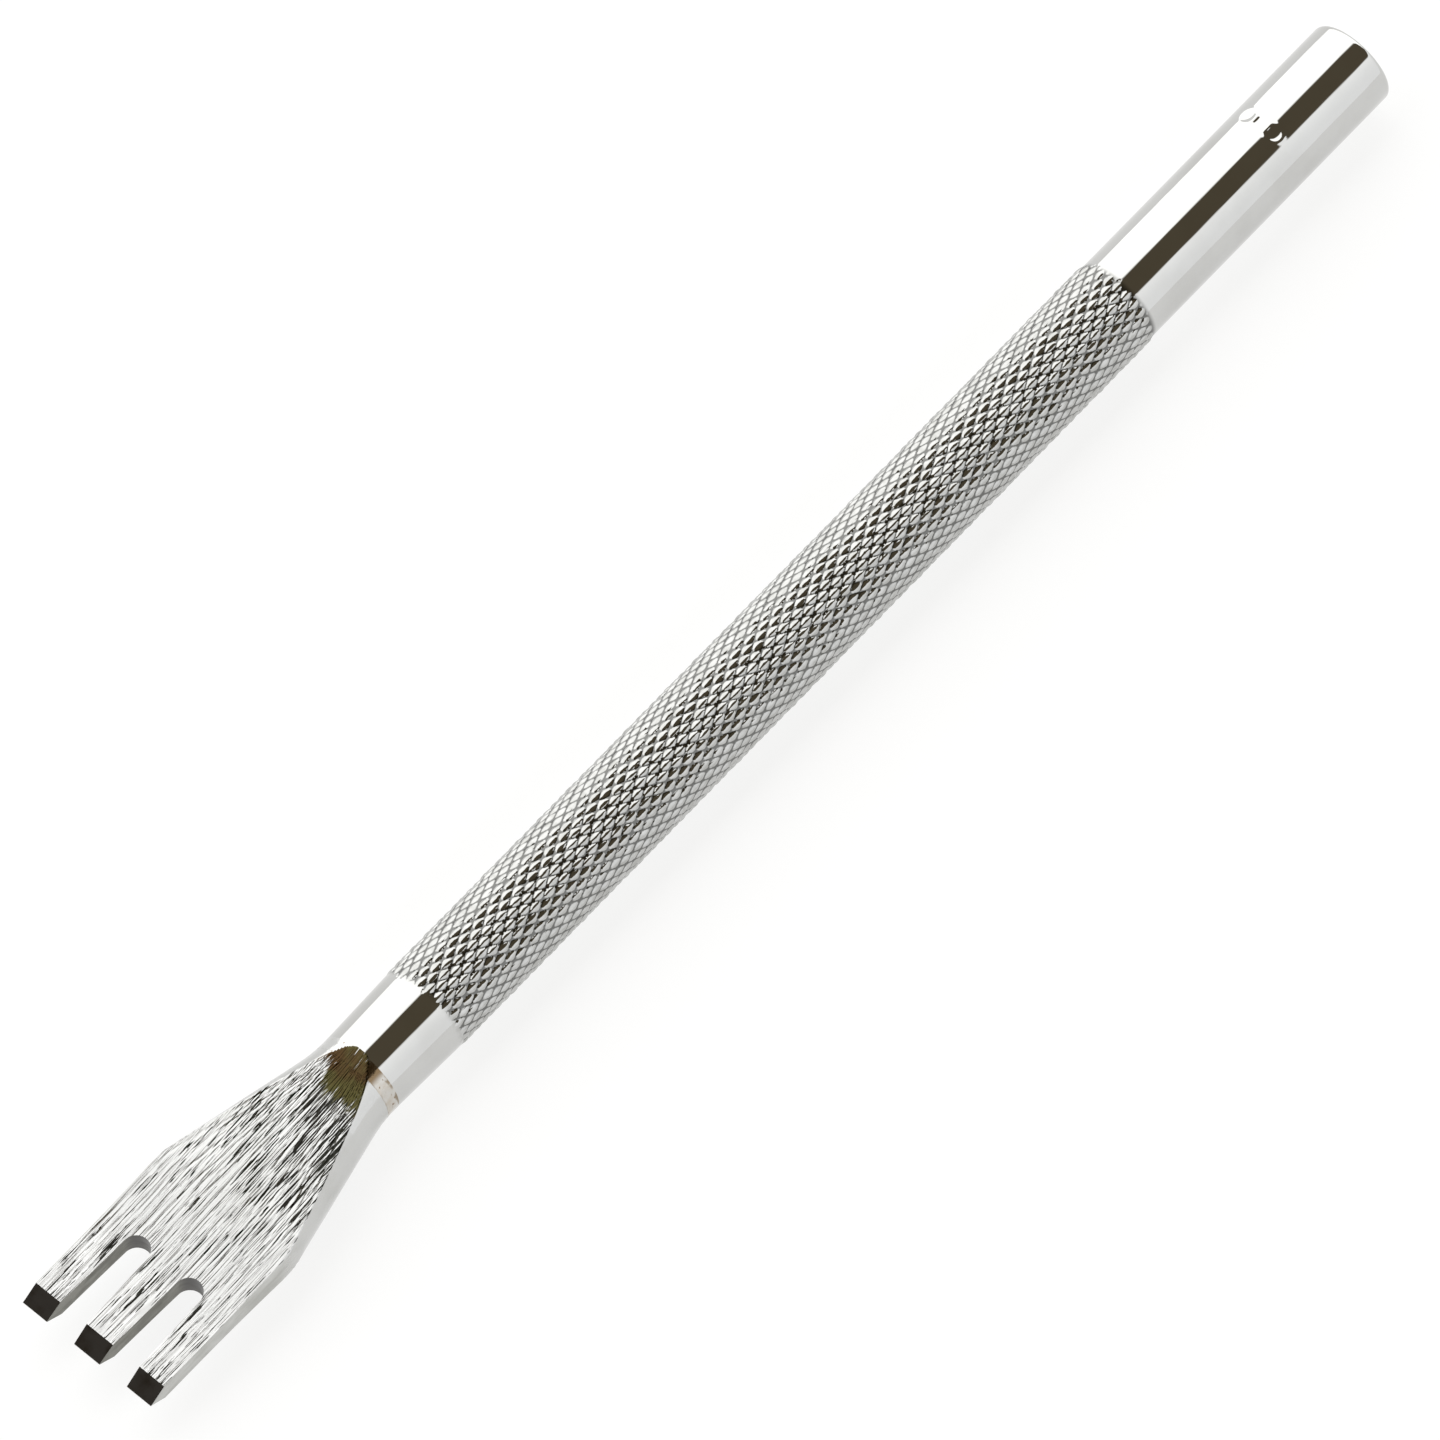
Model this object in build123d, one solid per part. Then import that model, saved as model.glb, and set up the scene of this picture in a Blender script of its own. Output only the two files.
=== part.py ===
from build123d import *
import math
import os

# A three-prong pricking iron, in millimetres.
# It lies along X with its struck end at +X and its prongs at -X; +Z is the front face's normal.
# The origin is under the middle of the tool, at the height of the grip's lowest line.
# While it is being built, X counts from the prong tips and the bar's axis lies on the X axis.

TOOL_LENGTH = 129.45

# Handle: one turned bar. The diamond knurl of the grip is a prism here, with a flat for each row.
SHANK_RADIUS = 3.375
SHANK_END_ROUND = 0.45
GRIP_RADIUS = 3.54
KNURL_ROWS = 26
GRIP_START = 33.3
GRIP_END = 104.9
NECK_REAR_RADIUS = 3.44
NECK_RADIUS = 3.3

# Brazed seam between the handle and the head.
SEAM_MIDDLE = 26.95
SEAM_THICKNESS = 1.1

# Spigot on the head, and the blind socket that it is brazed into.
SPIGOT_RADIUS = 2.0
SPIGOT_LENGTH = 9.0
SPIGOT_CHAMFER = 0.3
BRAZE_GAP = 0.03
SOCKET_SPARE_DEPTH = 0.3

# Head, seen from the front: parallel across the prongs, then tapered to the neck.
HEAD_HALF_WIDTH = 5.79
BLANK_HALF_WIDTH = 6.07
TAPER_START = 14.0
TAPER_SLOPE = 0.232

# Head, seen from the side: one profile for the front face and for the back face.
PRONG_HALF_THICKNESS = 0.93
PRONG_FLAT_END = 5.0
FACE_RAMP_START = 13.0
FACE_RAMP_START_HALF = 1.38
FACE_RAMP_END = 25.5
FACE_RAMP_END_HALF = 2.68
FACE_APEX = 27.65
FACE_RUN_OUT = 29.0

# Prongs: three, left by two round-ended slots, each with a chisel edge.
PRONG_PITCH = 4.76
SLOT_TIP_WIDTH = 2.47
SLOT_ROOT_RADIUS = 1.03
SLOT_ROOT_CENTRE = 7.54
EDGE_BEVEL_LENGTH = 1.37
EDGE_HALF_LAND = 0.03

SEAM_FRONT = SEAM_MIDDLE - SEAM_THICKNESS / 2
SEAM_REAR = SEAM_MIDDLE + SEAM_THICKNESS / 2
BLEND_START = 2 * (BLANK_HALF_WIDTH - NECK_RADIUS) / TAPER_SLOPE + 2 * TAPER_START - SEAM_FRONT
SOCKET_RADIUS = SPIGOT_RADIUS + BRAZE_GAP
SPIGOT_END = SEAM_FRONT + SPIGOT_LENGTH
CLEAR = 2.0


def rod(radius, start, end):
    """A round rod along the bar's axis."""
    section = Plane.YZ.offset(start) * Circle(radius)
    return extrude(section, end - start)


def neck():
    """The smooth neck, which widens a little towards the grip."""
    outline = Polyline(
        (SEAM_REAR, 0),
        (SEAM_REAR, NECK_RADIUS),
        (GRIP_START, NECK_REAR_RADIUS),
        (GRIP_START, 0),
        close=True,
    )
    return revolve(make_face(outline), Axis.X)


def grip():
    """The knurled stretch: its flats touch the knurl's crests, and one of them faces down."""
    half_flat_turn = 180 / KNURL_ROWS
    prism = RegularPolygon(GRIP_RADIUS, KNURL_ROWS, major_radius=False, rotation=half_flat_turn)
    across = Plane(origin=(GRIP_START, 0, 0), x_dir=(0, 0, -1), z_dir=(1, 0, 0))
    return extrude(across * prism, GRIP_END - GRIP_START)


def shank():
    """The smooth end that is struck, with its edge rounded."""
    bar = rod(SHANK_RADIUS, GRIP_END, TOOL_LENGTH)
    struck_edge = bar.edges().filter_by(GeomType.CIRCLE).sort_by(Axis.X)[-1]
    return fillet(struck_edge, SHANK_END_ROUND)


def blank_half_width(station):
    """Half the width of the forged blank at a distance from the prong tips."""
    if station <= TAPER_START:
        return BLANK_HALF_WIDTH
    if station <= BLEND_START:
        return BLANK_HALF_WIDTH - TAPER_SLOPE * (station - TAPER_START)
    blend_width = BLANK_HALF_WIDTH - TAPER_SLOPE * (BLEND_START - TAPER_START)
    share = (station - BLEND_START) / (SEAM_FRONT - BLEND_START)
    ease = share * (2 - share)
    return blend_width + (NECK_RADIUS - blend_width) * ease


def blank_section(station):
    """The bar squashed to an oblong at one station, with its round sides kept."""
    least_flat = 0.01
    half_flat = max(blank_half_width(station) - NECK_RADIUS, least_flat)
    oblong = SlotCenterToCenter(2 * half_flat, 2 * NECK_RADIUS)
    across = Plane(origin=(station, 0, 0), x_dir=(0, 1, 0), z_dir=(1, 0, 0))
    return across * oblong


def forged_blank():
    """The head before grinding: wide across the prongs, round at the neck."""
    straight = extrude(blank_section(0), TAPER_START)
    taper = loft([blank_section(TAPER_START), blank_section(BLEND_START)], ruled=True)
    blend_steps = 4
    step = (SEAM_FRONT - BLEND_START) / blend_steps
    blend = loft([blank_section(BLEND_START + step * count) for count in range(blend_steps + 1)])
    return straight + taper + blend


def face_profile():
    """The ground face seen from the side: flat, hollow, straight ramp, hollow."""
    flat = Line((-CLEAR, PRONG_HALF_THICKNESS), (PRONG_FLAT_END, PRONG_HALF_THICKNESS))
    ramp_start = (FACE_RAMP_START, FACE_RAMP_START_HALF)
    lower_hollow = TangentArc(flat @ 1, ramp_start, tangent=flat % 1)
    ramp_end = (FACE_RAMP_END, FACE_RAMP_END_HALF)
    ramp = Line(ramp_start, ramp_end)
    upper_hollow = TangentArc(ramp_end, (FACE_APEX, NECK_RADIUS), tangent=ramp % 1)
    run_out_slope = (upper_hollow % 1).Y / (upper_hollow % 1).X
    run_out_rise = run_out_slope * (FACE_RUN_OUT - FACE_APEX)
    run_out = Line(upper_hollow @ 1, (FACE_RUN_OUT, NECK_RADIUS + run_out_rise))
    return flat + lower_hollow + ramp + upper_hollow + run_out


def grinding_cutters():
    """What the wheel takes off the front and the back of the head and the neck."""
    ground = face_profile()
    start = ground @ 0
    end = ground @ 1
    top = NECK_RADIUS + CLEAR
    surround = Polyline(end, (end.X, top), (start.X, top), start)
    section = make_face(Plane.XZ * (ground + surround))
    front = extrude(section, HEAD_HALF_WIDTH + CLEAR, both=True)
    return [front, mirror(front, Plane.XY)]


def slot_cutter(across):
    """One round-ended slot between two prongs, wider at the tips."""
    half_tip = SLOT_TIP_WIDTH / 2
    sides = Polyline(
        (SLOT_ROOT_CENTRE, -SLOT_ROOT_RADIUS),
        (0, -half_tip),
        (-CLEAR, -half_tip),
        (-CLEAR, half_tip),
        (0, half_tip),
        (SLOT_ROOT_CENTRE, SLOT_ROOT_RADIUS),
    )
    root_top = (SLOT_ROOT_CENTRE + SLOT_ROOT_RADIUS, 0)
    root = ThreePointArc(sides @ 1, root_top, sides @ 0)
    outline = make_face(sides + root)
    return Pos(0, across, 0) * extrude(outline, NECK_RADIUS + CLEAR, both=True)


def edge_cutters():
    """The two bevels of the chisel edge, across all the prongs."""
    section = make_face(
        Plane.XZ
        * Polyline(
            (0, EDGE_HALF_LAND),
            (EDGE_BEVEL_LENGTH, PRONG_HALF_THICKNESS),
            (EDGE_BEVEL_LENGTH, PRONG_HALF_THICKNESS + CLEAR),
            (-CLEAR, PRONG_HALF_THICKNESS + CLEAR),
            (-CLEAR, EDGE_HALF_LAND),
            close=True,
        )
    )
    upper = extrude(section, HEAD_HALF_WIDTH + CLEAR, both=True)
    return [upper, mirror(upper, Plane.XY)]


def prong_head(ground_away):
    """The head with its prongs, and the spigot that enters the handle."""
    side_planes = Pos(SEAM_FRONT / 2, 0, 0) * Box(
        SEAM_FRONT + CLEAR, 2 * HEAD_HALF_WIDTH, 2 * NECK_RADIUS + CLEAR
    )
    head = forged_blank() & side_planes
    head -= ground_away
    head -= edge_cutters()
    head -= [slot_cutter(side * PRONG_PITCH / 2) for side in (-1, 1)]
    spigot = rod(SPIGOT_RADIUS, SEAM_FRONT - CLEAR, SPIGOT_END)
    spigot_end = spigot.edges().filter_by(GeomType.CIRCLE).sort_by(Axis.X)[-1]
    return head + chamfer(spigot_end, SPIGOT_CHAMFER)


def handle(ground_away):
    """The turned bar with its socket, ground with the head at the apex."""
    socket = rod(SOCKET_RADIUS, SEAM_REAR - CLEAR, SPIGOT_END + SOCKET_SPARE_DEPTH)
    return neck() + grip() + shank() - socket - ground_away


def braze_seam(ground_away):
    """The ring of filler metal that shows between the handle and the head."""
    ring = rod(NECK_RADIUS, SEAM_FRONT, SEAM_REAR)
    return ring - rod(SOCKET_RADIUS, SEAM_FRONT, SEAM_REAR) - ground_away


def main():
    os.makedirs("parts", exist_ok=True)
    ground_away = grinding_cutters()
    nodes = {
        "handle": handle(ground_away),
        "prong_head": prong_head(ground_away),
        "braze_seam": braze_seam(ground_away),
    }
    in_place = Pos(-TOOL_LENGTH / 2, 0, GRIP_RADIUS)
    for name, solid in nodes.items():
        export_step(in_place * solid, f"parts/{name}.step")


main()
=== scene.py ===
import math

import bpy
import numpy as np
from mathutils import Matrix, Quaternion, Vector


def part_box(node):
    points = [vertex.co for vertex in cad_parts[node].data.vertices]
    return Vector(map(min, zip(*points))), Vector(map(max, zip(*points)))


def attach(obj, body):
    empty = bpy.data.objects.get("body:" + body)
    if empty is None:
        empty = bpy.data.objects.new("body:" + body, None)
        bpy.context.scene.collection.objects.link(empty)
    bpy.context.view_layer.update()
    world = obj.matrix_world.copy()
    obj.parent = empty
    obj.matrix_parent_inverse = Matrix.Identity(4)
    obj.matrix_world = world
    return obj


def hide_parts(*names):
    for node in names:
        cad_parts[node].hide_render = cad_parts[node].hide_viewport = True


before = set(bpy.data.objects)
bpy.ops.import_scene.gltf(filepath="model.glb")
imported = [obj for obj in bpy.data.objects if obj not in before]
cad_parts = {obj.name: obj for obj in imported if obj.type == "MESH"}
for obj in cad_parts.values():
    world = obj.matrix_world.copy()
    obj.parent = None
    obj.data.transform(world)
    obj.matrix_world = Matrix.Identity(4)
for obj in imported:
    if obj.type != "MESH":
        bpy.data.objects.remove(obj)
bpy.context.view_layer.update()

# Lengths below are millimetres; stations count along the bar from the prong tips.
MM = 0.001

# ---- Camera -------------------------------------------------------------------------------
CAMERA_AZIMUTH = -135.83
CAMERA_ELEVATION = 63.81
CAMERA_ROLL = -2.88
CAMERA_DISTANCE = 1361.8
CAMERA_LENS = 502.65
CAMERA_AIM = (-1.73, -0.62)

# ---- Handle -------------------------------------------------------------------------------
SHANK_RADIUS = 3.375
SHANK_END_ROUND = 0.45
GRIP_RADIUS = 3.54
GRIP_START = 33.3
GRIP_END = 104.9
NECK_REAR_RADIUS = 3.44
NECK_RADIUS = 3.3
SEAM_FRONT = 26.4
SEAM_REAR = 27.5
SPIGOT_RADIUS = 2.0
SPIGOT_END = 35.4
SPIGOT_CHAMFER = 0.3
SOCKET_RADIUS = 2.03
SOCKET_END = 35.7

# Diamond knurl: helical grooves of both hands that cross. Bulge shapes a diamond's flanks, lean
# tips each one at random, and the least height is that of the most worn one.
KNURL_SEED = 5
KNURL_STARTS = 26
KNURL_PITCHES = 50
KNURL_STEPS = 8
KNURL_DEPTH = 0.165
KNURL_BULGE = 2.25
KNURL_ROUGHNESS = 0.016
KNURL_LEAN = 0.8
KNURL_LEAST_HEIGHT = 0.80
KNURL_RUN_OUT = 0.42
KNURL_EDGE_WANDER = 0.16

# ---- Head ---------------------------------------------------------------------------------
HEAD_HALF_WIDTH = 5.79
BLANK_HALF_WIDTH = 6.07
TAPER_START = 14.0
TAPER_SLOPE = 0.232
PRONG_HALF_THICKNESS = 0.93
PRONG_FLAT_END = 5.0
FACE_RAMP_START = 13.0
FACE_RAMP_START_HALF = 1.38
FACE_RAMP_END = 24.0
FACE_RAMP_END_HALF = 2.524
FACE_APEX = 27.65
PRONG_PITCH = 4.76
SLOT_TIP_WIDTH = 2.47
SLOT_ROOT_RADIUS = 1.03
SLOT_ROOT_CENTRE = 7.54
EDGE_BEVEL_LENGTH = 1.37
EDGE_HALF_LAND = 0.03
BLEND_START = 24.8
BLEND_END = 2 * (BLANK_HALF_WIDTH - NECK_RADIUS) / TAPER_SLOPE + 2 * TAPER_START - BLEND_START
EDGE_BREAK = 0.05

TOOL_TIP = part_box("prong_head")[0].x / MM
TOOL_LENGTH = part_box("handle")[1].x / MM - TOOL_TIP
AXIS_HEIGHT = (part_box("handle")[0].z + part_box("handle")[1].z) / 2 / MM


# ---- Mesh helpers -------------------------------------------------------------------------
def to_row(points):
    """From stations, widths and heights about the bar's axis to the row frame, in metres."""
    row = np.asarray(points, float).reshape(-1, 3) + (TOOL_TIP, 0.0, AXIS_HEIGHT)
    return row * MM


def mesh_piece(name, points, faces, sharp_degrees=30):
    """A new object from points in tool millimetres, smooth except at sharp edges."""
    mesh = bpy.data.meshes.new(name)
    mesh.from_pydata(to_row(points).tolist(), [], faces)
    mesh.validate()
    piece = bpy.data.objects.new(name, mesh)
    bpy.context.scene.collection.objects.link(piece)
    shade(mesh, sharp_degrees)
    return piece


def shade(mesh, sharp_degrees):
    """Smooth shading, split where two faces meet at more than the angle."""
    mesh.shade_smooth()
    mesh.set_sharp_from_angle(angle=math.radians(sharp_degrees))


def ring_faces(first_row, rows, around):
    """Quads between successive closed rings of points."""
    here = np.arange(around)
    there = (here + 1) % around
    quads = []
    for row in range(first_row, first_row + rows - 1):
        near, far = row * around, (row + 1) * around
        quads += np.stack([near + here, near + there, far + there, far + here], 1).tolist()
    return quads


def caps(rows, around):
    """The two end polygons of a stack of rings."""
    first = list(range(around))[::-1]
    last = list(range((rows - 1) * around, rows * around))
    return [first, last]


def circle_ring(station, radius, angles):
    """Points on a circle about the bar's axis."""
    return np.stack(
        [np.full(len(angles), station), radius * np.cos(angles), radius * np.sin(angles)], 1
    )


# ---- The ground faces of the head ---------------------------------------------------------
def bend(station, start, end, slope):
    """A hollow that leaves start at a slope and passes through end."""
    run = end[0] - start[0]
    curve = (end[1] - start[1] - slope * run) / run**2
    along = station - start[0]
    return start[1] + slope * along + curve * along**2


def face_half(station):
    """Half the thickness between the two ground faces."""
    ramp_start = (FACE_RAMP_START, FACE_RAMP_START_HALF)
    ramp_end = (FACE_RAMP_END, FACE_RAMP_END_HALF)
    slope = (ramp_end[1] - ramp_start[1]) / (ramp_end[0] - ramp_start[0])
    if station < PRONG_FLAT_END:
        return PRONG_HALF_THICKNESS
    if station < FACE_RAMP_START:
        return bend(station, (PRONG_FLAT_END, PRONG_HALF_THICKNESS), ramp_start, 0.0)
    if station < FACE_RAMP_END:
        return ramp_start[1] + slope * (station - ramp_start[0])
    return bend(station, ramp_end, (FACE_APEX, NECK_RADIUS), slope)


def ground_flat(points):
    """Trims points of the neck to the two ground faces."""
    points = points.copy()
    for point in points.reshape(-1, 3):
        if point[0] < FACE_APEX + 0.2:
            half = face_half(point[0])
            point[2] = min(max(point[2], -half), half)
    return points


def blank_half_width(station):
    """Half the width of the forged blank before its sides and faces are ground."""
    if station <= TAPER_START:
        return BLANK_HALF_WIDTH
    if station <= BLEND_START:
        return BLANK_HALF_WIDTH - TAPER_SLOPE * (station - TAPER_START)
    if station >= BLEND_END:
        return NECK_RADIUS
    width = BLANK_HALF_WIDTH - TAPER_SLOPE * (BLEND_START - TAPER_START)
    share = (station - BLEND_START) / (BLEND_END - BLEND_START)
    return width + (NECK_RADIUS - width) * share * (2 - share)


def side_at(station, height):
    """How far out the head's side is at a height above the bar's axis."""
    round_side = math.sqrt(max(NECK_RADIUS**2 - height**2, 0.0))
    return min(HEAD_HALF_WIDTH, blank_half_width(station) - NECK_RADIUS + round_side)


# ---- Grinding marks -----------------------------------------------------------------------
SCRATCH_COUNT = 900
SCRATCH_MIDDLE = (1.0, 27.0)
SCRATCH_ACROSS = (-6.0, 6.0)
SCRATCH_LENGTH = (0.7, 2.6)
SCRATCH_WIDTH = (0.05, 0.10)
SCRATCH_DEPTH = (0.003, 0.009)
SCRATCH_DRIFT = (-0.02, 0.05)
FRONT_SEED = 11
BACK_SEED = 23


def scratch_depths(stations, widths, seed):
    """Depths of lengthwise wheel marks over a grid of stations and widths."""
    rng = np.random.default_rng(seed)
    depths = np.zeros((len(stations), len(widths)))
    for _ in range(SCRATCH_COUNT):
        middle = rng.uniform(*SCRATCH_MIDDLE)
        across = rng.uniform(*SCRATCH_ACROSS)
        length = rng.uniform(*SCRATCH_LENGTH)
        width = rng.uniform(*SCRATCH_WIDTH)
        depth = rng.uniform(*SCRATCH_DEPTH)
        drift = rng.uniform(*SCRATCH_DRIFT)
        along = (stations - middle) / length
        near = np.abs(along) < 1
        line = across + drift * (stations[near] - middle)
        groove = np.exp(-(((widths[None, :] - line[:, None]) / width) ** 2))
        depths[near] += depth * groove * (1 - along[near, None] ** 2)
    return depths


# ---- Head ---------------------------------------------------------------------------------
FACE_POINTS = 190
SIDE_POINTS = 12
SECTION_STEP = 0.2
CUTTER_HALF_HEIGHT = 3.0
CUTTER_FRONT = -1


def head_section(station, half, front_marks, back_marks):
    """One closed section: front face, right side, back face and left side."""
    edge = min(EDGE_BREAK, half * 0.5)
    top = half - edge
    across = np.linspace(-1, 1, FACE_POINTS)
    reach = side_at(station, half) - edge
    heights = np.linspace(top, -top, SIDE_POINTS)
    side = np.array([side_at(station, height) for height in heights])
    fade = np.clip((1 - np.abs(across)) * 30, 0, 1)
    front = np.stack([across * reach, half - front_marks * fade], 1)
    right = np.stack([side, heights], 1)
    back = np.stack([-across * reach, -half + back_marks[::-1] * fade], 1)
    left = np.stack([-side, -heights], 1)
    outline = np.concatenate([front, right, back, left])[::-1]
    return np.column_stack([np.full(len(outline), station), outline])


def head_stations():
    """Where the head's sections are: over the bevels, then evenly up to the seam."""
    bevel = np.linspace(0, EDGE_BEVEL_LENGTH, 8)
    body = np.arange(EDGE_BEVEL_LENGTH + 0.06, SEAM_FRONT - 0.1, SECTION_STEP)
    return np.concatenate([bevel, body, [SEAM_FRONT]])


def head_body():
    """The head without its slots, and the spigot behind it."""
    stations = head_stations()
    widths = np.linspace(-HEAD_HALF_WIDTH, HEAD_HALF_WIDTH, FACE_POINTS)
    front_marks = scratch_depths(stations, widths, FRONT_SEED)
    back_marks = scratch_depths(stations, widths, BACK_SEED)
    rings = []
    for index, station in enumerate(stations):
        half = face_half(station)
        marks = 1.0
        if station <= EDGE_BEVEL_LENGTH:
            share = station / EDGE_BEVEL_LENGTH
            half = EDGE_HALF_LAND + (half - EDGE_HALF_LAND) * share
            marks = 0.0
        rings.append(
            head_section(station, half, marks * front_marks[index], marks * back_marks[index])
        )
    angles = np.arctan2(rings[-1][:, 2], rings[-1][:, 1])
    spigot_body = SPIGOT_END - SPIGOT_CHAMFER
    for station, radius in (
        (SEAM_FRONT, SPIGOT_RADIUS),
        (spigot_body, SPIGOT_RADIUS),
        (SPIGOT_END, SPIGOT_RADIUS - SPIGOT_CHAMFER),
    ):
        rings.append(circle_ring(station, radius, angles))
    around = len(angles)
    faces = ring_faces(0, len(rings), around) + caps(len(rings), around)
    return mesh_piece("prong_head_ground", np.concatenate(rings), faces)


def slot_cutter(name, across):
    """The round-ended space between two prongs."""
    half_tip = SLOT_TIP_WIDTH / 2
    turn = np.linspace(-math.pi / 2, math.pi / 2, 25)
    root = np.stack(
        [SLOT_ROOT_CENTRE + SLOT_ROOT_RADIUS * np.cos(turn), SLOT_ROOT_RADIUS * np.sin(turn)], 1
    )
    near_side = [(CUTTER_FRONT, -half_tip), (0, -half_tip)]
    far_side = [(0, half_tip), (CUTTER_FRONT, half_tip)]
    outline = np.concatenate([near_side, root, far_side])
    count = len(outline)
    outline[:, 1] += across
    levels = [
        np.column_stack([outline, np.full(count, height)])
        for height in (-CUTTER_HALF_HEIGHT, CUTTER_HALF_HEIGHT)
    ]
    walls = [
        [index, (index + 1) % count, count + (index + 1) % count, count + index]
        for index in range(count)
    ]
    ends = [list(range(count))[::-1], list(range(count, 2 * count))]
    return mesh_piece(name, np.concatenate(levels), walls + ends)


def cut(piece, cutters):
    """Takes the cutters out of a piece and removes them."""
    for cutter in cutters:
        modifier = piece.modifiers.new("cut", "BOOLEAN")
        modifier.operation = "DIFFERENCE"
        modifier.solver = "EXACT"
        modifier.object = cutter
    graph = bpy.context.evaluated_depsgraph_get()
    mesh = bpy.data.meshes.new_from_object(piece.evaluated_get(graph))
    piece.modifiers.clear()
    old = piece.data
    piece.data = mesh
    mesh.name = old.name
    bpy.data.meshes.remove(old)
    for cutter in cutters:
        bpy.data.objects.remove(cutter)


HEAD_MATERIALS = ("ground_face", "chisel_bevel", "slot_wall", "head_side")

# How far a face's normal points up or down: more than this on a flat or on a bevel, and less
# than this on a slot's wall.
FLAT_UP = 0.8
BEVEL_UP = 0.5
WALL_UP = 0.4


def head_zone(polygon):
    """Which of the head's finishes a face has, from where it is and which way it looks."""
    station = polygon.center.x / MM - TOOL_TIP
    across = abs(polygon.center.y) / MM
    up = abs(polygon.normal.z)
    if station < EDGE_BEVEL_LENGTH and up > BEVEL_UP:
        return "chisel_bevel"
    slot_end = SLOT_ROOT_CENTRE + SLOT_ROOT_RADIUS + 0.1
    in_slot = across < HEAD_HALF_WIDTH - 0.3 and station < slot_end
    if in_slot and up < WALL_UP:
        return "slot_wall"
    if up > FLAT_UP and station < SEAM_FRONT:
        height = abs(polygon.center.z / MM - AXIS_HEIGHT)
        if height > face_half(station) - 0.1:
            return "ground_face"
    return "head_side"


def finish_flats(piece, materials):
    """Gives the piece's share of the two ground faces their finish."""
    piece.data.materials.append(materials["ground_face"])
    for polygon in piece.data.polygons:
        station = polygon.center.x / MM - TOOL_TIP
        height = abs(polygon.center.z / MM - AXIS_HEIGHT)
        on_flat = height > face_half(station) - 0.03 and abs(polygon.normal.z) > FLAT_UP
        if station < FACE_APEX and on_flat:
            polygon.material_index = 1


def make_head(materials):
    """The pronged head with its spigot, each face in its own finish."""
    head = head_body()
    cutters = [slot_cutter(f"slot_{side}", side * PRONG_PITCH / 2) for side in (-1, 1)]
    cut(head, cutters)
    shade(head.data, 24)
    for name in HEAD_MATERIALS:
        head.data.materials.append(materials[name])
    for polygon in head.data.polygons:
        polygon.material_index = HEAD_MATERIALS.index(head_zone(polygon))
    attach(head, "root")
    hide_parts("prong_head")


# ---- Handle -------------------------------------------------------------------------------
AROUND = KNURL_STARTS * KNURL_STEPS
KNURL_ROWS = KNURL_PITCHES * KNURL_STEPS


def diamond_radii(rng):
    """The radius at each row and column of the grip, with the crossing grooves pressed in."""
    wear = rng.uniform(KNURL_LEAST_HEIGHT, 1.0, (KNURL_STARTS, KNURL_STARTS))
    lean = rng.uniform(-KNURL_LEAN, KNURL_LEAN, (2, KNURL_STARTS, KNURL_STARTS))
    column = np.arange(AROUND)[None, :]
    row = np.arange(KNURL_ROWS + 1)[:, None]
    right_hand = (column + row) / KNURL_STEPS
    left_hand = (column - row) / KNURL_STEPS
    across_right = np.abs(right_hand % 1 - 0.5) * 2
    across_left = np.abs(left_hand % 1 - 0.5) * 2
    rise = (1 - across_right**KNURL_BULGE) * (1 - across_left**KNURL_BULGE)
    cell = tuple(np.floor(turns).astype(int) % KNURL_STARTS for turns in (right_hand, left_hand))
    leaning = lean[0][cell] * (right_hand % 1 - 0.5) + lean[1][cell] * (left_hand % 1 - 0.5)
    rise = np.minimum(rise * (1 + leaning), 1)
    radius = GRIP_RADIUS - KNURL_DEPTH + KNURL_DEPTH * wear[cell] * rise
    radius -= rng.uniform(0, KNURL_ROUGHNESS, radius.shape)
    return radius


def pressed_share(stations, angles):
    """One on the grip, falling to nought where its grooves run out at two uneven ends."""
    wander = KNURL_EDGE_WANDER * (np.sin(angles + 0.6) + 0.5 * np.sin(5 * angles + 2.0))[None, :]
    from_start = (stations - GRIP_START - KNURL_EDGE_WANDER * 1.5 + wander) / KNURL_RUN_OUT
    from_end = (GRIP_END - stations - KNURL_EDGE_WANDER * 1.5 + wander) / KNURL_RUN_OUT
    return np.clip(np.minimum(from_start, from_end), 0, 1)


def knurl_rings(angles):
    """The grip's rings, which run out into the neck at one end and the shank at the other."""
    radius = diamond_radii(np.random.default_rng(KNURL_SEED))
    row = np.arange(KNURL_ROWS + 1)[:, None]
    stations = GRIP_START + (GRIP_END - GRIP_START) * row / KNURL_ROWS
    pressed = pressed_share(stations, angles)
    smooth = np.where(stations < (GRIP_START + GRIP_END) / 2, NECK_REAR_RADIUS, SHANK_RADIUS)
    radius = smooth + (radius - smooth) * pressed
    return np.stack(
        [np.broadcast_to(stations, radius.shape), radius * np.cos(angles), radius * np.sin(angles)], 2
    )


def knurl_faces(first_row):
    """Triangles whose diagonals follow the grooves."""
    faces = []
    columns = np.arange(AROUND)
    nexts = (columns + 1) % AROUND
    for row in range(KNURL_ROWS):
        near = (first_row + row) * AROUND
        far = near + AROUND
        corners = np.stack([near + columns, near + nexts, far + nexts, far + columns], 1)
        rising = (columns - row) % KNURL_STEPS == 0
        falling = (columns + row + 1) % KNURL_STEPS == 0
        use_rising = np.where(rising | falling, rising, (columns + row) % 2 == 0)
        a, b, c, d = corners.T
        first = np.where(use_rising[:, None], np.stack([a, b, c], 1), np.stack([a, b, d], 1))
        second = np.where(use_rising[:, None], np.stack([a, c, d], 1), np.stack([b, c, d], 1))
        faces += first.tolist() + second.tolist()
    return faces


# Generic size mark: three round punch dots in a row across the shank.
DOT_STATION = 120.2
DOT_ANGLES = (60.0, 81.0, 102.0)
DOT_RADIUS = 0.60
DOT_DEPTH = 0.13
DOT_LIP = 0.022

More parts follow.
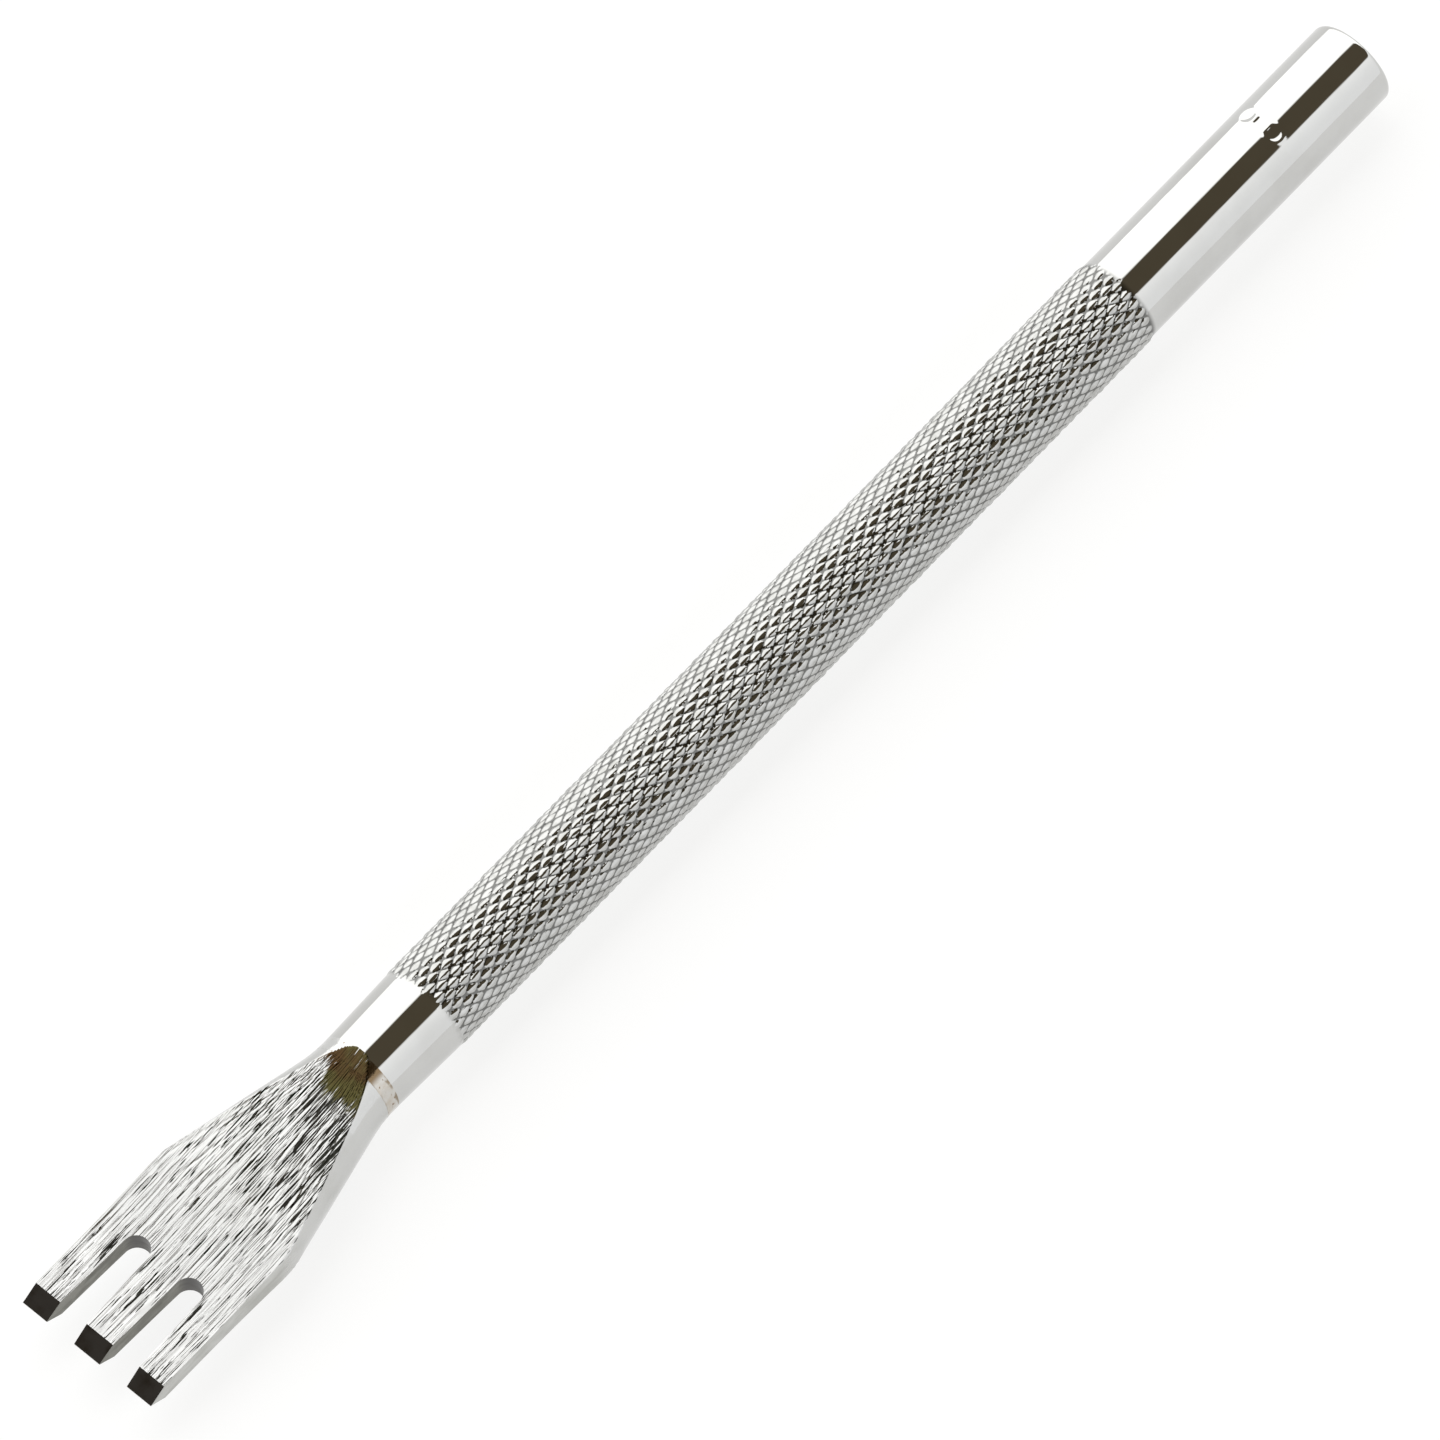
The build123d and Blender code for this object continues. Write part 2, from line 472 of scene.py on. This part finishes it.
# Rings of points are close together over the dots and sparse on the plain bar around them.
DOT_RINGS_REACH = 0.9
DOT_RINGS_STEP = 0.075
SPARSE_BEFORE_DOTS = 118.6
SPARSE_AFTER_DOTS = 121.8
STRUCK_FACE_RADII = (2.6, 2.0, 1.2, 0.4)


def punch_dots(rings):
    """Presses the size mark's dots into the shank, each with a faint raised lip."""
    rings = rings.copy()
    radii = np.hypot(rings[..., 1], rings[..., 2])
    angles = np.arctan2(rings[..., 2], rings[..., 1])
    for angle in DOT_ANGLES:
        arc = (angles - math.radians(angle)) * SHANK_RADIUS
        distance = np.hypot(rings[..., 0] - DOT_STATION, arc) / DOT_RADIUS
        bowl = -DOT_DEPTH * np.clip(1 - distance**2, 0, 1)
        lip = DOT_LIP * np.exp(-(((distance - 1.15) / 0.22) ** 2))
        scale = 1 + (bowl + lip) / radii
        rings[..., 1] *= scale
        rings[..., 2] *= scale
    return rings


def shank_rings(angles):
    """The smooth end: plain bar, the size mark, the rounded edge and the struck face."""
    straight_end = TOOL_LENGTH - SHANK_END_ROUND
    before = np.linspace(GRIP_END + 0.2, SPARSE_BEFORE_DOTS, 10)
    first_dot_ring = DOT_STATION - DOT_RINGS_REACH
    past_last_dot_ring = DOT_STATION + DOT_RINGS_REACH + 0.01
    dots = np.arange(first_dot_ring, past_last_dot_ring, DOT_RINGS_STEP)
    after = np.linspace(SPARSE_AFTER_DOTS, straight_end, 6)
    stations = np.concatenate([before, dots, after])
    rings = [circle_ring(station, SHANK_RADIUS, angles) for station in stations]
    turn = np.linspace(0, math.pi / 2, 7)[1:]
    for angle in turn:
        station = straight_end + SHANK_END_ROUND * math.sin(angle)
        radius = SHANK_RADIUS - SHANK_END_ROUND * (1 - math.cos(angle))
        rings.append(circle_ring(station, radius, angles))
    for radius in STRUCK_FACE_RADII:
        rings.append(circle_ring(TOOL_LENGTH, radius, angles))
    return punch_dots(np.array(rings))


def neck_rings(angles):
    """The socket, then the smooth neck up to the grip."""
    rings = [
        circle_ring(SOCKET_END, SOCKET_RADIUS, angles),
        circle_ring(SEAM_REAR, SOCKET_RADIUS, angles),
    ]
    apex = np.linspace(SEAM_REAR, FACE_APEX, 7)
    body = np.linspace(FACE_APEX + 0.15, GRIP_START - 0.15, 16)
    for station in np.concatenate([apex, body]):
        share = (station - SEAM_REAR) / (GRIP_START - SEAM_REAR)
        radius = NECK_RADIUS + (NECK_REAR_RADIUS - NECK_RADIUS) * share
        rings.append(ground_flat(circle_ring(station, radius, angles)))
    return np.array(rings)


def make_handle(materials):
    """The bar in one mesh: socket and neck, knurled grip, then the shank."""
    angles = np.arange(AROUND) / AROUND * 2 * math.pi
    neck = neck_rings(angles)
    knurl = knurl_rings(angles)
    shank = shank_rings(angles)
    rings = np.concatenate([neck, knurl, shank])
    rows = len(rings)
    knurl_start = len(neck)
    shank_start = knurl_start + len(knurl)
    faces = ring_faces(0, knurl_start + 1, AROUND)
    faces += knurl_faces(knurl_start)
    faces += ring_faces(shank_start - 1, rows - shank_start + 1, AROUND)
    faces += caps(rows, AROUND)
    handle = mesh_piece("handle_knurled", rings, faces, sharp_degrees=50)
    handle.data.materials.append(materials["plated_bar"])
    finish_flats(handle, materials)
    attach(handle, "root")
    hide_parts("handle")


# ---- Brazed seam --------------------------------------------------------------------------
SEAM_SEED = 41
SEAM_RIPPLE = 0.003
SEAM_POINTS = 160


def seam_rings(angles):
    """The ring's sections from front to rear, each with a slight ripple."""
    rng = np.random.default_rng(SEAM_SEED)
    phases = rng.uniform(0, 2 * math.pi, (4, 6))
    rings = [circle_ring(SEAM_FRONT, SOCKET_RADIUS, angles)]
    for share in np.linspace(0, 1, 12):
        station = SEAM_FRONT + (SEAM_REAR - SEAM_FRONT) * share
        edge = math.sin(math.pi * share)
        ripple = sum(
            np.sin((k + 3) * angles * (1 + m) + phases[m, k] + 3 * share * (k - 2))
            for m in range(3)
            for k in range(5)
        )
        radius = NECK_RADIUS + SEAM_RIPPLE * ripple * edge
        ring = circle_ring(station, radius, angles)
        ring[:, 1] *= blank_half_width(station) / NECK_RADIUS
        rings.append(ground_flat(ring))
    rings.append(circle_ring(SEAM_REAR, SOCKET_RADIUS, angles))
    return rings


def make_seam(materials):
    """A slightly uneven ring of filler metal, closed by its bore."""
    angles = np.linspace(0, 2 * math.pi, SEAM_POINTS, endpoint=False)
    rings = seam_rings(angles)
    count = len(rings)
    faces = ring_faces(0, count, len(angles))
    here = np.arange(len(angles))
    there = (here + 1) % len(angles)
    last = (count - 1) * len(angles)
    faces += np.stack([last + here, last + there, there, here], 1).tolist()
    seam = mesh_piece("braze_ring", np.concatenate(rings), faces)
    seam.data.materials.append(materials["braze"])
    finish_flats(seam, materials)
    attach(seam, "root")
    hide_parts("braze_seam")


# ---- Material helpers ---------------------------------------------------------------------
class Nodes:
    """A short way to write a node tree."""

    def __init__(self, tree):
        self.tree = tree
        tree.nodes.clear()

    def add(self, kind, **settings):
        node = self.tree.nodes.new(kind)
        for name, value in settings.items():
            setattr(node, name, value)
        return node

    def feed(self, socket, value):
        """Sets a socket, or links it where the value is another node's output."""
        if isinstance(value, bpy.types.NodeSocket):
            self.tree.links.new(value, socket)
        else:
            socket.default_value = value

    def math(self, operation, a, b=0.0, c=0.0):
        node = self.add("ShaderNodeMath", operation=operation)
        for socket, value in zip(node.inputs, (a, b, c)):
            self.feed(socket, value)
        return node.outputs[0]

    def dot(self, a, b):
        node = self.add("ShaderNodeVectorMath", operation="DOT_PRODUCT")
        self.feed(node.inputs[0], a)
        self.feed(node.inputs[1], b)
        return node.outputs["Value"]

    def span(self, value, low, high, to_low=0.0, to_high=1.0):
        """A smooth step from one number to another while the value goes from low to high."""
        node = self.add("ShaderNodeMapRange", interpolation_type="SMOOTHSTEP")
        for socket, number in zip(node.inputs[:5], (value, low, high, to_low, to_high)):
            self.feed(socket, number)
        return node.outputs[0]

    def mix(self, share, a, b):
        node = self.add("ShaderNodeMix", data_type="RGBA")
        self.feed(node.inputs["Factor"], share)
        self.feed(node.inputs[6], a)
        self.feed(node.inputs[7], b)
        return node.outputs[2]

    def place(self, scale=(1, 1, 1)):
        """A point's place in the object's own frame, with each axis scaled."""
        coordinates = self.add("ShaderNodeTexCoord")
        mapping = self.add("ShaderNodeMapping")
        mapping.inputs["Scale"].default_value = scale
        self.tree.links.new(coordinates.outputs["Object"], mapping.inputs["Vector"])
        return mapping.outputs[0]

    def noise(self, scale, detail=3.0, stretch=(1, 1, 1), roughness=0.55):
        """Noise from nought to one, drawn out along an axis whose stretch is small."""
        node = self.add("ShaderNodeTexNoise")
        self.feed(node.inputs["Vector"], self.place(stretch))
        node.inputs["Scale"].default_value = scale
        node.inputs["Detail"].default_value = detail
        node.inputs["Roughness"].default_value = roughness
        return node.outputs["Fac"]

    def position(self):
        """A point's X, Y and Z in metres."""
        split = self.add("ShaderNodeSeparateXYZ")
        self.tree.links.new(self.place(), split.inputs[0])
        return split.outputs

    def bump(self, height, distance, strength=1.0):
        node = self.add("ShaderNodeBump")
        node.inputs["Strength"].default_value = strength
        node.inputs["Distance"].default_value = distance
        self.feed(node.inputs["Height"], height)
        return node.outputs[0]


def metal(name, colour, roughness, normal, metallic=None):
    """A metal surface. Each property is a function that adds its own nodes."""
    material = bpy.data.materials.new(name)
    material.use_nodes = True
    nodes = Nodes(material.node_tree)
    shader = nodes.add("ShaderNodeBsdfPrincipled")
    shader.inputs["Metallic"].default_value = 1.0
    if metallic:
        nodes.feed(shader.inputs["Metallic"], metallic(nodes))
    nodes.feed(shader.inputs["Base Color"], colour(nodes))
    nodes.feed(shader.inputs["Roughness"], roughness(nodes))
    nodes.feed(shader.inputs["Normal"], normal(nodes))
    output = nodes.add("ShaderNodeOutputMaterial")
    nodes.tree.links.new(shader.outputs[0], output.inputs["Surface"])
    return material


CHROME = (0.57, 0.57, 0.56, 1)

# How high the painted shade stands in the knurl's grooves: where it is darkest and where it ends.
GROOVE_SHADE_FULL = 0.012
GROOVE_SHADE_EDGE = 0.05


def knurl_zone(nodes):
    """One on the knurled grip and nought on the plain bar."""
    along = nodes.position()["X"]
    after = nodes.span(along, (TOOL_TIP + GRIP_START) * MM, (TOOL_TIP + GRIP_START + 0.5) * MM)
    before = nodes.span(along, (TOOL_TIP + GRIP_END) * MM, (TOOL_TIP + GRIP_END - 0.5) * MM)
    return nodes.math("MULTIPLY", after, before)


def knurl_groove_shade(nodes):
    """One in the bottom of the knurl's grooves, where shade is painted."""
    place = nodes.position()
    height = nodes.math("SUBTRACT", place["Z"], AXIS_HEIGHT * MM)
    squares = nodes.math("MULTIPLY", place["Y"], place["Y"])
    squares = nodes.math("MULTIPLY_ADD", height, height, squares)
    bottom = GRIP_RADIUS - KNURL_DEPTH
    radius = nodes.math("SQRT", squares)
    return nodes.span(radius, (bottom + GROOVE_SHADE_EDGE) * MM, (bottom + GROOVE_SHADE_FULL) * MM)


def plated_bar():
    """Bright plate with faint handling haze and lengthwise polishing lines."""

    def colour(nodes):
        haze = nodes.span(nodes.noise(220, 4), 0.35, 0.75)
        bright = nodes.mix(haze, CHROME, (0.53, 0.528, 0.515, 1))
        worn = nodes.span(nodes.noise(1600, 3), 0.35, 0.70)
        knurled = nodes.mix(worn, (0.52, 0.52, 0.51, 1), (0.42, 0.42, 0.405, 1))
        # Painted shade: the bottoms of the knurl's grooves darkened to a deep grey.
        knurled = nodes.mix(knurl_groove_shade(nodes), knurled, (0.15, 0.15, 0.145, 1))
        return nodes.mix(knurl_zone(nodes), bright, knurled)

    def roughness(nodes):
        return nodes.span(nodes.noise(900, 3, (0.25, 1, 1)), 0.3, 0.8, 0.02, 0.05)

    def normal(nodes):
        lines = nodes.noise(5000, 2, (0.05, 1, 1))
        return nodes.bump(lines, 0.0000012)

    return metal("plated_bar", colour, roughness, normal)


def streaks(nodes):
    """Lengthwise grinding lines with painted dark reflections, closer together towards the neck and
    its right edge.
    """
    long_lines = nodes.noise(1000, 1, (0.30, 8.0, 1), 0.5)
    short_lines = nodes.noise(1000, 1, (0.9, 11.0, 1), 0.5)
    lines = nodes.math("MULTIPLY_ADD", short_lines, 0.4, nodes.math("MULTIPLY", long_lines, 0.6))
    place = nodes.position()
    right_prong = nodes.span(place["Y"], -1.5 * MM, -3.0 * MM, 0.045, 0.062)
    on_prongs = nodes.span(place["X"], (TOOL_TIP + 9) * MM, (TOOL_TIP + 6) * MM)
    on_prongs = nodes.math("MULTIPLY", on_prongs, right_prong)
    near_neck = nodes.span(place["X"], (TOOL_TIP + 9) * MM, (TOOL_TIP + 23) * MM)
    near_edge = nodes.span(place["Y"], 2.5 * MM, -3.0 * MM, 0.070, 0.165)
    denser = nodes.math("MULTIPLY_ADD", near_neck, near_edge, on_prongs)
    low = nodes.math("SUBTRACT", 0.60, denser)
    high = nodes.math("ADD", low, 0.020)
    apart = nodes.span(nodes.noise(1000, 1, (0.20, 7.0, 1), 0.5), 0.61, 0.58)
    return nodes.math("MULTIPLY", nodes.span(lines, low, high), apart)


def prong_zone(nodes):
    """One on the prongs, where the grind is duller and paler."""
    return nodes.span(nodes.position()["X"], (TOOL_TIP + 8.5) * MM, (TOOL_TIP + 5.0) * MM)


def apex_stain_and_reflection(nodes):
    """The dark patch where the grind runs out beside the neck, partly heat stain and partly a painted
    dark reflection, with a ragged front edge.
    """
    place = nodes.position()
    ragged = nodes.noise(1000, 3, (0.5, 6.0, 1), 0.6)
    front = nodes.span(place["Y"], 0.4 * MM, 1.6 * MM, (TOOL_TIP + 24.0) * MM, (TOOL_TIP + 25.6) * MM)
    front = nodes.math("ADD", front, nodes.math("MULTIPLY_ADD", ragged, 0.0034, -0.0017))
    behind = nodes.math("SUBTRACT", place["X"], front)
    scratch = nodes.span(nodes.noise(1000, 2, (0.15, 8.0, 1), 0.5), 0.68, 0.64)
    return nodes.math("MULTIPLY", nodes.span(behind, -0.0002, 0.0004), scratch)


def ground_face():
    """The wheel-ground faces: satin plate over lengthwise grinding lines."""

    def colour(nodes):
        cloudy = nodes.span(nodes.noise(260, 3, (0.4, 1, 1)), 0.3, 0.7)
        pale = nodes.mix(cloudy, (0.55, 0.55, 0.545, 1), (0.48, 0.48, 0.47, 1))
        middle = nodes.span(nodes.position()["X"], (TOOL_TIP + 17) * MM, (TOOL_TIP + 11) * MM)
        pale = nodes.mix(middle, pale, (0.49, 0.49, 0.485, 1))
        pale = nodes.mix(prong_zone(nodes), pale, (0.60, 0.60, 0.595, 1))
        # Painted dark reflections along the grinding lines.
        lined = nodes.mix(streaks(nodes), pale, (0.022, 0.022, 0.018, 1))
        # The patch by the neck: dark olive, partly heat stain and partly a painted dark reflection.
        patch_tone = nodes.span(nodes.noise(420, 3), 0.40, 0.62)
        stain_and_reflection = nodes.mix(patch_tone, (0.065, 0.058, 0.022, 1), (0.060, 0.036, 0.016, 1))
        return nodes.mix(apex_stain_and_reflection(nodes), lined, stain_and_reflection)

    def roughness(nodes):
        satin = nodes.span(nodes.noise(1200, 3, (0.1, 2, 1)), 0.3, 0.75, 0.10, 0.18)
        return nodes.math("MULTIPLY_ADD", prong_zone(nodes), 0.16, satin)

    def normal(nodes):
        lines = nodes.noise(1000, 2, (0.14, 9.0, 1), 0.6)
        return nodes.bump(lines, 0.00003, 0.7)

    return metal("ground_face", colour, roughness, normal)


def chisel_bevel():
    """The sharpened bevels: steel painted near black as a dark reflection, with fine crosswise stone
    marks.
    """

    def colour(nodes):
        # Painted dark reflection: two near-black tones.
        worn = nodes.span(nodes.noise(700, 4), 0.4, 0.7)
        return nodes.mix(worn, (0.016, 0.014, 0.012, 1), (0.010, 0.008, 0.006, 1))

    def roughness(nodes):
        return nodes.span(nodes.noise(1500, 3, (2, 0.3, 1)), 0.3, 0.75, 0.14, 0.26)

    def normal(nodes):
        return nodes.bump(nodes.noise(3000, 2, (2.5, 0.15, 1)), 0.0000006)

    return metal("chisel_bevel", colour, roughness, normal)


def slot_wall():
    """Sawn slot walls, painted dark grey as the shade inside the narrow slots."""

    def colour(nodes):
        patchy = nodes.span(nodes.noise(600, 4), 0.35, 0.7)
        wall = nodes.mix(patchy, (0.12, 0.117, 0.095, 1), (0.19, 0.187, 0.16, 1))
        # Painted shade: darker still towards the slot's root.
        root = nodes.span(nodes.position()["X"], (TOOL_TIP + 7.4) * MM, (TOOL_TIP + 8.3) * MM)
        return nodes.mix(root, wall, (0.09, 0.087, 0.083, 1))

    def roughness(nodes):
        return nodes.span(nodes.noise(1000, 3, (0.4, 1, 2)), 0.3, 0.75, 0.30, 0.46)

    def normal(nodes):
        return nodes.bump(nodes.noise(2500, 2, (0.2, 0.2, 2.5)), 0.000006)

    return metal("slot_wall", colour, roughness, normal)


def head_side():
    """The head's sides: coarse grind beside the prongs, then bright plate round the flare."""

    def flare(nodes):
        return nodes.span(nodes.position()["X"], (TOOL_TIP + 12.6) * MM, (TOOL_TIP + 14.8) * MM)

    def colour(nodes):
        patchy = nodes.span(nodes.noise(500, 4, (0.5, 1, 1)), 0.35, 0.7)
        ground = nodes.mix(patchy, (0.40, 0.40, 0.375, 1), (0.54, 0.54, 0.52, 1))
        haze = nodes.span(nodes.noise(300, 4), 0.35, 0.75)
        plate = nodes.mix(haze, (0.56, 0.56, 0.55, 1), (0.49, 0.49, 0.475, 1))
        return nodes.mix(flare(nodes), ground, plate)

    def roughness(nodes):
        ground = nodes.span(nodes.noise(1000, 3, (0.2, 1, 2)), 0.3, 0.75, 0.34, 0.48)
        return nodes.math("MULTIPLY_ADD", flare(nodes), -0.28, ground)

    def normal(nodes):
        return nodes.bump(nodes.noise(1500, 3, (0.2, 1, 1.6)), 0.000012)

    def metallic(nodes):
        return nodes.math("MULTIPLY_ADD", flare(nodes), 0.32, 0.68)

    return metal("head_side", colour, roughness, normal, metallic)


def braze():
    """Heat-stained filler metal, darker along both edges."""

    def colour(nodes):
        place = nodes.position()
        middle = (TOOL_TIP + (SEAM_FRONT + SEAM_REAR) / 2) * MM
        behind = nodes.math("SUBTRACT", place["X"], middle)
        wander = nodes.math("MULTIPLY_ADD", nodes.noise(1300, 4), 0.00050, -0.00025)
        rear_edge = nodes.span(nodes.math("ADD", behind, wander), 0.00028, 0.00044)
        front_edge = nodes.span(nodes.math("ADD", behind, wander), -0.00044, -0.00052)
        edge = nodes.math("MAXIMUM", rear_edge, nodes.math("MULTIPLY", front_edge, 0.35))
        broken = nodes.span(nodes.noise(1100, 2), 0.40, 0.55)
        stained = nodes.span(place["Y"], 1.2 * MM, -2.2 * MM)
        edge = nodes.math("MULTIPLY", edge, nodes.math("MULTIPLY", stained, broken))
        patchy = nodes.span(nodes.noise(900, 4), 0.4, 0.7)
        tinted = nodes.mix(patchy, (0.56, 0.545, 0.515, 1), (0.50, 0.455, 0.395, 1))
        body = nodes.mix(stained, CHROME, tinted)
        specks = nodes.span(nodes.noise(2600, 2), 0.66, 0.70)
        body = nodes.mix(specks, body, (0.24, 0.16, 0.10, 1))
        body = nodes.mix(edge, body, (0.27, 0.22, 0.16, 1))
        on_top = nodes.span(place["Z"], (AXIS_HEIGHT + 2.45) * MM, (AXIS_HEIGHT + 2.8) * MM)
        burnt = nodes.math("MULTIPLY", on_top, nodes.span(place["Y"], -0.6 * MM, -1.2 * MM))
        return nodes.mix(burnt, body, (0.20, 0.14, 0.08, 1))

    def roughness(nodes):
        return nodes.span(nodes.noise(1200, 3), 0.3, 0.75, 0.08, 0.22)

    def normal(nodes):
        return nodes.bump(nodes.noise(1600, 3), 0.00002)

    return metal("braze", colour, roughness, normal)


# ---- Studio -------------------------------------------------------------------------------
FLOOR_GREY = (0.20, 0.20, 0.20, 1)
FLOOR_GLOW = 0.82
FLOOR_HALF_METRES = 6.0


def add_floor():
    """A plain pale sheet that the tool lies on. It gives off a soft light of its own."""
    half = FLOOR_HALF_METRES
    mesh = bpy.data.meshes.new("floor")
    corners = [(-half, -half, 0), (half, -half, 0), (half, half, 0), (-half, half, 0)]
    mesh.from_pydata(corners, [], [(0, 1, 2, 3)])
    floor = bpy.data.objects.new("floor", mesh)
    bpy.context.scene.collection.objects.link(floor)
    material = bpy.data.materials.new("pale_floor")
    material.use_nodes = True
    nodes = Nodes(material.node_tree)
    shader = nodes.add("ShaderNodeBsdfPrincipled")
    shader.inputs["Base Color"].default_value = FLOOR_GREY
    shader.inputs["Roughness"].default_value = 0.9
    shader.inputs["Specular IOR Level"].default_value = 0.0
    shader.inputs["Emission Color"].default_value = (1, 1, 0.995, 1)
    shader.inputs["Emission Strength"].default_value = FLOOR_GLOW
    output = nodes.add("ShaderNodeOutputMaterial")
    nodes.tree.links.new(shader.outputs[0], output.inputs["Surface"])
    mesh.materials.append(material)


def add_camera():
    """A long lens at the photograph's angle."""
    azimuth = math.radians(CAMERA_AZIMUTH)
    elevation = math.radians(CAMERA_ELEVATION)
    toward = Vector(
        (
            math.cos(elevation) * math.cos(azimuth),
            math.cos(elevation) * math.sin(azimuth),
            math.sin(elevation),
        )
    )
    aim = Vector((CAMERA_AIM[0], CAMERA_AIM[1], AXIS_HEIGHT))
    level = toward.to_track_quat("Z", "Y")
    roll = Quaternion((0, 0, 1), math.radians(CAMERA_ROLL))
    camera = bpy.data.objects.new("camera", bpy.data.cameras.new("camera"))
    camera.data.lens = CAMERA_LENS
    camera.data.sensor_width = 36
    camera.data.clip_end = 20
    camera.rotation_mode = "QUATERNION"
    camera.rotation_quaternion = level @ roll
    camera.location = (aim + toward * CAMERA_DISTANCE) * MM
    bpy.context.scene.collection.objects.link(camera)
    bpy.context.scene.camera = camera


# The white light tent, brighter on the lamp's side (+Y), with one dark slot over the tool.
LAMP_SIDE = (1.95, 1.95, 1.93, 1)
FAR_SIDE = (1.20, 1.21, 1.22, 1)
TENT_SLOT = (0.105, 0.086, 0.056, 1)

# Places on the tent are turns about the tool's length in degrees, counted towards -Y from a line
# that leans 19 degrees off the vertical to that side.
TENT_ZERO = (0, -0.324, 0.946)
TENT_QUARTER_TURN = (0, -0.946, -0.324)
TENT_FADE = (-60, 60)
TENT_SLOT_LEFT = -30.0
TENT_SLOT_RIGHT = 19.0
TENT_SLOT_EDGE = 2.0


def add_tent():
    """Soft light from a plain white tent with a slot over the tool, as the world's light."""
    world = bpy.data.worlds.new("tent")
    bpy.context.scene.world = world
    world.use_nodes = True
    nodes = Nodes(world.node_tree)
    direction = nodes.add("ShaderNodeTexCoord").outputs["Generated"]
    over = nodes.dot(direction, TENT_ZERO)
    across = nodes.dot(direction, TENT_QUARTER_TURN)
    turn = nodes.math("MULTIPLY", nodes.math("ARCTAN2", across, over), 180 / math.pi)
    tent = nodes.mix(nodes.span(turn, *TENT_FADE), LAMP_SIDE, FAR_SIDE)
    past_left = nodes.span(turn, TENT_SLOT_LEFT - TENT_SLOT_EDGE, TENT_SLOT_LEFT + TENT_SLOT_EDGE)
    before_right = nodes.span(
        turn, TENT_SLOT_RIGHT + TENT_SLOT_EDGE, TENT_SLOT_RIGHT - TENT_SLOT_EDGE
    )
    colour = nodes.mix(nodes.math("MULTIPLY", past_left, before_right), tent, TENT_SLOT)
    background = nodes.add("ShaderNodeBackground")
    nodes.feed(background.inputs["Color"], colour)
    background.inputs["Strength"].default_value = 1.0
    output = nodes.add("ShaderNodeOutputWorld")
    nodes.tree.links.new(background.outputs[0], output.inputs["Surface"])


# ---- Scene --------------------------------------------------------------------------------
add_camera()
add_floor()
add_tent()
bpy.context.scene.view_settings.view_transform = "Standard"
finishes = {
    "plated_bar": plated_bar(),
    "ground_face": ground_face(),
    "chisel_bevel": chisel_bevel(),
    "slot_wall": slot_wall(),
    "head_side": head_side(),
    "braze": braze(),
}
make_handle(finishes)
make_head(finishes)
make_seam(finishes)
